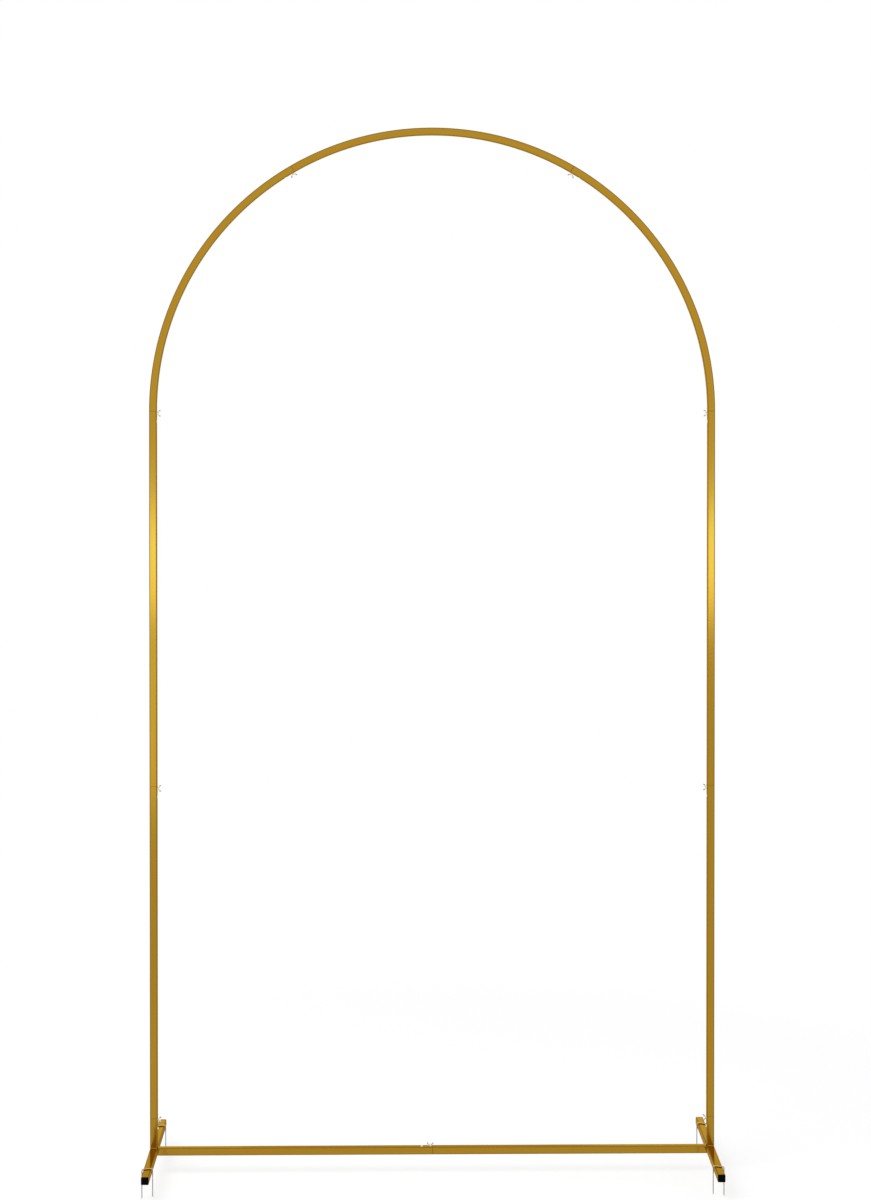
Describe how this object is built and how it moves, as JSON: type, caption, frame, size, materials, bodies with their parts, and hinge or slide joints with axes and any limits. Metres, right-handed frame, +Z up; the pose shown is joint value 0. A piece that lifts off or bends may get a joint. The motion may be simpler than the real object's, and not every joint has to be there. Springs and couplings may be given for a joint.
{
  "type": "garden arch",
  "caption": "Free-standing garden arch of slim square gold tube with a half-round top, a base bar, front-to-back feet, slip joints with wing screws and wire ground staples.",
  "frame": {"origin": "on the ground, in the middle of the base bar's underside", "axes": "+X along the arch to the right seen from the front, +Y from front to back, +Z up"},
  "size_m": [1.2178, 0.38, 2.244],
  "materials": {
    "gold_tube": "glossy gold coating",
    "black_cap": "fine satin",
    "zinc_wire": "galvanised",
    "plated_screw": "bright zinc plated",
    "spring_button": "polished"
  },
  "bodies": {
    "root": {"arc_crown": "gold_tube", "arc_left": "gold_tube", "arc_right": "gold_tube", "upper_post_left": "gold_tube", "upper_post_right": "gold_tube", "lower_post_left": "gold_tube", "lower_post_right": "gold_tube", "base_bar_left": "gold_tube", "base_bar_right": "gold_tube", "foot_left": "gold_tube", "foot_right": "gold_tube", "foot_cap_left_front": "black_cap", "foot_cap_left_back": "black_cap", "foot_cap_right_front": "black_cap", "foot_cap_right_back": "black_cap", "staple_left_front": "zinc_wire", "staple_left_back": "zinc_wire", "staple_right_front": "zinc_wire", "staple_right_back": "zinc_wire", "wing_screw_base_bar": "plated_screw", "wing_screw_foot_left": "plated_screw", "wing_screw_foot_right": "plated_screw", "wing_screw_post_left": "plated_screw", "wing_screw_post_right": "plated_screw", "wing_screw_spring_left": "plated_screw", "wing_screw_spring_right": "plated_screw", "wing_screw_arc_left": "plated_screw", "wing_screw_arc_right": "plated_screw", "snap_button_base_bar": "spring_button", "snap_button_foot_left": "spring_button", "snap_button_foot_right": "spring_button", "snap_button_post_left": "spring_button", "snap_button_post_right": "spring_button", "snap_button_spring_left": "spring_button", "snap_button_spring_right": "spring_button", "snap_button_arc_left": "spring_button", "snap_button_arc_right": "spring_button"}
  },
  "joints": []
}
